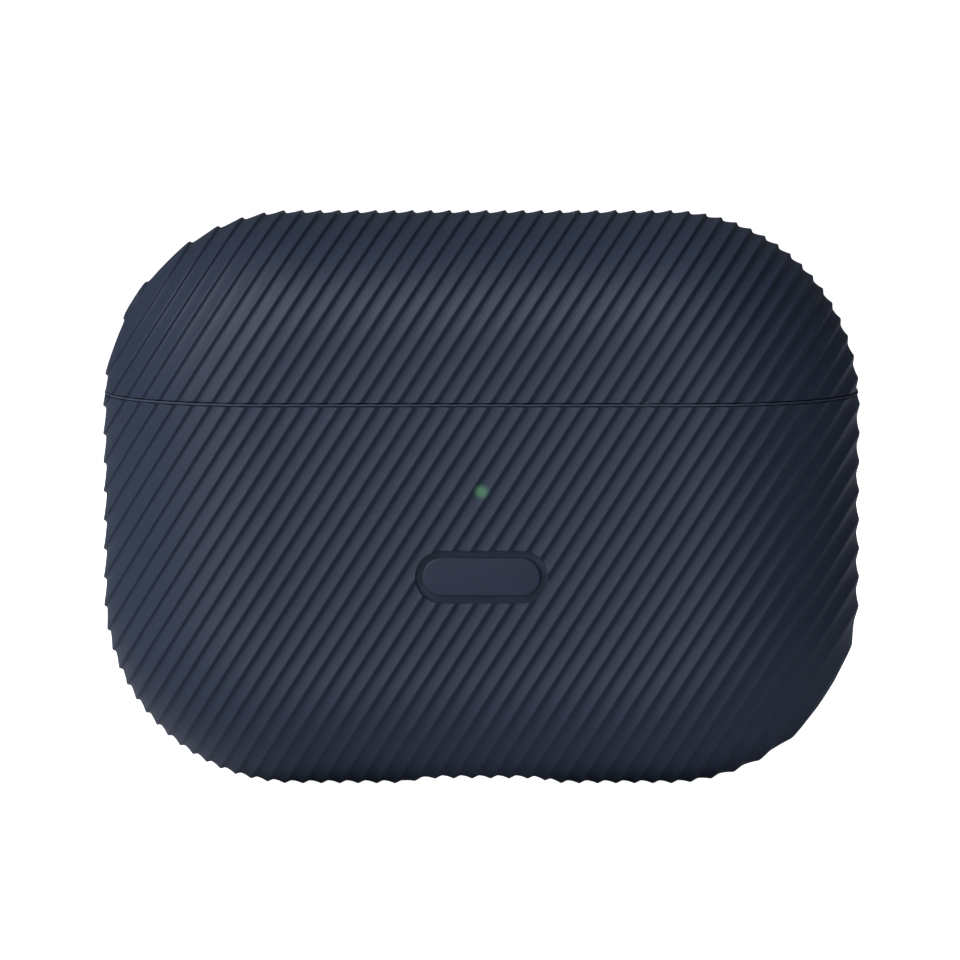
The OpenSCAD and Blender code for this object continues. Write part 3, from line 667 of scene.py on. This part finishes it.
def surface(name, colour, roughness, metallic=0.0, blotch=60.0, vary=0.06, grain=4000.0, bump=0.00001,
            stretch=(1, 1, 1), wear=0.0):
    """Principled material whose colour and roughness drift, with a fine bump and lighter worn edges."""
    mat = bpy.data.materials.new(name)
    mat.use_nodes = True
    nodes, links = mat.node_tree.nodes, mat.node_tree.links
    shader = nodes["Principled BSDF"]
    shader.inputs["Metallic"].default_value = metallic
    coords = nodes.new("ShaderNodeTexCoord")
    mapping = nodes.new("ShaderNodeMapping")
    mapping.inputs["Scale"].default_value = stretch
    links.new(coords.outputs["Object"], mapping.inputs["Vector"])
    cloud = nodes.new("ShaderNodeTexNoise")
    cloud.inputs["Scale"].default_value = blotch
    cloud.inputs["Detail"].default_value = 4
    links.new(coords.outputs["Object"], cloud.inputs["Vector"])
    ramp = nodes.new("ShaderNodeValToRGB")
    ramp.name = "tint"
    for element, position, gain in zip(ramp.color_ramp.elements, (0.35, 0.68), (1 - vary, 1 + vary)):
        element.position = position
        element.color = (*(min(1.0, c * gain) for c in colour), 1)
    links.new(cloud.outputs["Fac"], ramp.inputs["Fac"])
    worn = nodes.new("ShaderNodeMix")
    worn.name = "worn"
    worn.data_type = "RGBA"
    worn.inputs["B"].default_value = (*(min(1.0, 1.6 * c + 0.02) for c in colour), 1)
    links.new(ramp.outputs["Color"], worn.inputs["A"])
    edge = nodes.new("ShaderNodeMapRange")
    geometry = nodes.new("ShaderNodeNewGeometry")
    links.new(geometry.outputs["Pointiness"], edge.inputs["Value"])
    edge.inputs["From Min"].default_value = 0.52
    edge.inputs["From Max"].default_value = 0.62
    edge.inputs["To Max"].default_value = wear
    links.new(edge.outputs["Result"], worn.inputs["Factor"])
    links.new(worn.outputs["Result"], shader.inputs["Base Color"])
    fine = nodes.new("ShaderNodeTexNoise")
    fine.inputs["Scale"].default_value = grain
    fine.inputs["Detail"].default_value = 3
    links.new(mapping.outputs["Vector"], fine.inputs["Vector"])
    rough = nodes.new("ShaderNodeMapRange")
    rough.inputs["To Min"].default_value = roughness - 0.05
    rough.inputs["To Max"].default_value = roughness + 0.05
    links.new(cloud.outputs["Fac"], rough.inputs["Value"])
    links.new(rough.outputs["Result"], shader.inputs["Roughness"])
    relief = nodes.new("ShaderNodeBump")
    relief.inputs["Strength"].default_value = 0.5
    relief.inputs["Distance"].default_value = bump
    links.new(fine.outputs["Fac"], relief.inputs["Height"])
    links.new(relief.outputs["Normal"], shader.inputs["Normal"])
    return mat


def silicone():
    """Dark navy rubber, with the status light glowing through a small spot of the front."""
    mat = surface("silicone_cover", (0.0262, 0.0372, 0.067), 0.5, blotch=55, vary=0.05, grain=7000,
                  bump=0.00003, wear=0.12)
    nodes, links = mat.node_tree.nodes, mat.node_tree.links
    shader = nodes["Principled BSDF"]
    shader.inputs["Specular IOR Level"].default_value = 0.27
    place = nodes.new("ShaderNodeSeparateXYZ")
    links.new(nodes["Texture Coordinate"].outputs["Object"], place.inputs["Vector"])
    flat = nodes.new("ShaderNodeCombineXYZ")
    links.new(place.outputs["X"], flat.inputs["X"])
    links.new(place.outputs["Z"], flat.inputs["Y"])
    away = nodes.new("ShaderNodeVectorMath")
    away.operation = "DISTANCE"
    away.inputs[1].default_value = (0, LED_Z * MM, 0)
    links.new(flat.outputs["Vector"], away.inputs[0])
    spot = nodes.new("ShaderNodeMapRange")
    spot.interpolation_type = "SMOOTHSTEP"
    spot.inputs["From Min"].default_value = GLOW_R * MM
    spot.inputs["From Max"].default_value = GLOW_CORE_R * MM
    links.new(away.outputs["Value"], spot.inputs["Value"])
    front = nodes.new("ShaderNodeMath")
    front.operation = "LESS_THAN"
    front.inputs[1].default_value = 0
    links.new(place.outputs["Y"], front.inputs[0])
    glow = nodes.new("ShaderNodeMath")
    glow.operation = "MULTIPLY"
    links.new(spot.outputs["Result"], glow.inputs[0])
    links.new(front.outputs["Value"], glow.inputs[1])
    links.new(glow.outputs["Value"], shader.inputs["Emission Strength"])
    shader.inputs["Emission Color"].default_value = (0.04, 0.145, 0.05, 1)
    paint_bead_highlight(mat)
    return mat


def paint_bead_highlight(mat):
    """Paints a highlight on the narrow bead below the seam: a lighter colour that stands in for the light
    its rounded top catches.
    """
    nodes, links = mat.node_tree.nodes, mat.node_tree.links
    top = (SEAM_Z - SEAM_GAP / 2) * MM
    mask = None
    for operation, height in (("LESS_THAN", top + 0.00001), ("GREATER_THAN", top - BEAD_H * MM)):
        test = nodes.new("ShaderNodeMath")
        test.operation = operation
        test.inputs[1].default_value = height
        links.new(nodes["Separate XYZ"].outputs["Z"], test.inputs[0])
        if mask:
            both = nodes.new("ShaderNodeMath")
            both.operation = "MULTIPLY"
            links.new(mask.outputs["Value"], both.inputs[0])
            links.new(test.outputs["Value"], both.inputs[1])
            test = both
        mask = test
    light = nodes.new("ShaderNodeMix")
    light.data_type = "RGBA"
    # painted highlight: lighter navy where the bead's rounded top would catch light
    light.inputs["B"].default_value = (0.06, 0.078, 0.12, 1)
    links.new(mask.outputs["Value"], light.inputs["Factor"])
    links.new(nodes["worn"].outputs["Result"], light.inputs["A"])
    links.new(light.outputs["Result"], nodes["Principled BSDF"].inputs["Base Color"])


def clear_plastic():
    mat = surface("clear_light_guide", (0.9, 0.96, 0.92), 0.12, vary=0.02, bump=0.000002)
    mat.node_tree.nodes["Principled BSDF"].inputs["Transmission Weight"].default_value = 0.85
    return mat


def lit_lens():
    mat = surface("green_lens", (0.3, 0.8, 0.4), 0.3, vary=0.05, bump=0.000002)
    shader = mat.node_tree.nodes["Principled BSDF"]
    shader.inputs["Emission Color"].default_value = (0.1, 0.9, 0.3, 1)
    shader.inputs["Emission Strength"].default_value = 0.6
    return mat


def brushed(name, colour, roughness, stretch=(0.06, 1, 1)):
    return surface(name, colour, roughness, 1.0, vary=0.05, grain=9000, bump=0.000006, stretch=stretch,
                   wear=0.3)


FINISHES = {
    "silicone": silicone(),
    "white_plastic": surface("white_gloss", (0.80, 0.80, 0.785), 0.2, blotch=30, vary=0.012, grain=1500,
                             bump=0.000002, wear=0.1),
    "adhesive": surface("adhesive_film", (0.5, 0.51, 0.53), 0.6, blotch=400, vary=0.1, bump=0.00002),
    "steel": brushed("satin_steel", (0.56, 0.57, 0.59), 0.3),
    "black_plastic": surface("black_moulding", (0.02, 0.02, 0.022), 0.45, blotch=300, grain=6000),
    "circuit_board": surface("solder_mask", (0.015, 0.1, 0.05), 0.35, blotch=500, vary=0.25, grain=1800,
                             bump=0.00003),
    "gasket_rubber": surface("gasket", (0.07, 0.07, 0.075), 0.75, blotch=300, vary=0.1, grain=5000,
                             bump=0.00002),
    "copper": brushed("enamelled_copper", (0.7, 0.33, 0.16), 0.28, stretch=(1, 1, 1)),
    "gold_plate": brushed("gold_plating", (0.86, 0.63, 0.26), 0.22, stretch=(1, 1, 1)),
    "cell_wrap": surface("foil_pouch", (0.45, 0.46, 0.48), 0.38, 0.8, blotch=200, vary=0.08, grain=900,
                         bump=0.00005),
    "foam": surface("closed_cell_foam", (0.09, 0.09, 0.1), 0.9, blotch=300, vary=0.15, grain=3000,
                    bump=0.00008),
    "light_guide": clear_plastic(),
    "green_light": lit_lens(),
    "magnet": brushed("nickel_plating", (0.6, 0.59, 0.56), 0.18, stretch=(1, 1, 1)),
}


def finish_cad_nodes():
    """Gives every CAD node the finish of its slot in the record."""
    for part in frame["record"]["subparts"]:
        for holder in frame["nodes"][part["node"]].material_slots:
            holder.material = FINISHES[part["material_slot"]]


# ---- build ----
build_cover()
build_case()
build_button()
build_hinge_screws("hinge_screws_base", -1, "base", "hinge_base_screws")
build_hinge_screws("hinge_screws_lid", 1, "lid", "hinge_lid_screws")
build_hinge_leaf("hinge_base_leaf", -1, 0, BORE_R, "base")
build_hinge_leaf("hinge_lid_leaf", 1, 1, TURNING_BORE_R, "lid")
build_port()
build_port_contacts()
build_springs()
finish_cad_nodes()

# ---- stage, light and camera ----
VIEW_W = 80.36  # width in view at the case
AIM_X, AIM_UP = -0.126, 1.402  # where the camera aims, from the case's middle
CAM_DISTANCE = 0.9  # metres
CAM_ELEVATION = math.radians(6.3)
FLOOR_GAP = 0.05  # the floor lies a hair below the case's foot
FLOOR_REACH = 3.0  # metres


def area_light(name, azimuth, elevation, distance, size, power):
    """Softbox aimed at the case. Azimuth 0 is in front of it and 90 to its right."""
    a, e = math.radians(azimuth), math.radians(elevation)
    at = Vector((math.sin(a) * math.cos(e), -math.cos(a) * math.cos(e), math.sin(e))) * distance
    data = bpy.data.lights.new(name, "AREA")
    data.shape = "RECTANGLE"
    data.size, data.size_y = size
    data.energy = power
    obj = bpy.data.objects.new(name, data)
    obj.visible_camera = False
    obj.location = at + Vector((0, 0, MID_Z * MM))
    obj.rotation_mode = "QUATERNION"
    obj.rotation_quaternion = (-at).to_track_quat("-Z", "Y")
    bpy.context.scene.collection.objects.link(obj)


def camera_only(nodes, links, lit, seen):
    """Shader that the camera sees as one thing and that lights the case as another."""
    path = nodes.new("ShaderNodeLightPath")
    mix = nodes.new("ShaderNodeMixShader")
    links.new(path.outputs["Is Camera Ray"], mix.inputs["Fac"])
    links.new(lit.outputs[0], mix.inputs[1])
    links.new(seen.outputs[0], mix.inputs[2])
    return mix


def build_floor():
    mesh = bpy.data.meshes.new("floor")
    z = -FLOOR_GAP * MM
    reach = FLOOR_REACH
    corners = [(-reach, -reach, z), (reach, -reach, z), (reach, reach, z), (-reach, reach, z)]
    mesh.from_pydata(corners, [], [(0, 1, 2, 3)])
    floor = bpy.data.objects.new("floor", mesh)
    bpy.context.scene.collection.objects.link(floor)
    mat = bpy.data.materials.new("pale_floor")
    mat.use_nodes = True
    nodes, links = mat.node_tree.nodes, mat.node_tree.links
    shader = nodes["Principled BSDF"]
    shader.inputs["Base Color"].default_value = (0.7, 0.74, 0.82, 1)
    shader.inputs["Roughness"].default_value = 0.9
    glow = nodes.new("ShaderNodeEmission")
    glow.inputs["Strength"].default_value = 1.0
    bright = nodes.new("ShaderNodeAddShader")
    links.new(glow.outputs[0], bright.inputs[0])
    links.new(shader.outputs[0], bright.inputs[1])
    mix = camera_only(nodes, links, shader, bright)
    links.new(mix.outputs[0], nodes["Material Output"].inputs["Surface"])
    mesh.materials.append(mat)


def build_world():
    world = bpy.data.worlds.new("studio")
    world.use_nodes = True
    nodes, links = world.node_tree.nodes, world.node_tree.links
    dim = nodes["Background"]
    dim.inputs["Color"].default_value = (0.84, 0.9, 1, 1)
    dim.inputs["Strength"].default_value = 0.115
    white = nodes.new("ShaderNodeBackground")
    white.inputs["Color"].default_value = (1, 1, 1, 1)
    white.inputs["Strength"].default_value = 1.05
    mix = camera_only(nodes, links, dim, white)
    links.new(mix.outputs[0], nodes["World Output"].inputs["Surface"])
    bpy.context.scene.world = world


build_floor()
build_world()
bpy.context.scene.view_settings.view_transform = "Standard"
area_light("key_strip", -56, 28, 0.8, (0.2, 0.7), 3.1)
area_light("front_fill", -12, 0, 1.0, (0.6, 0.5), 2.0)
area_light("top_box", -50, 50, 0.8, (0.5, 0.4), 2.2)
area_light("rear_fill", 180, 0, 0.25, (0.06, 0.04), 0.3)

target = Vector((AIM_X, 0, MID_Z + AIM_UP)) * MM
camera_data = bpy.data.cameras.new("camera")
camera = bpy.data.objects.new("camera", camera_data)
bpy.context.scene.collection.objects.link(camera)
bpy.context.scene.camera = camera
camera.location = target + CAM_DISTANCE * Vector((0, -math.cos(CAM_ELEVATION), math.sin(CAM_ELEVATION)))
camera.rotation_mode = "QUATERNION"
camera.rotation_quaternion = (target - camera.location).to_track_quat("-Z", "Y")
camera_data.sensor_width = 36
camera_data.lens = camera_data.sensor_width * CAM_DISTANCE / (VIEW_W * MM)
camera_data.clip_start, camera_data.clip_end = 0.01, 20
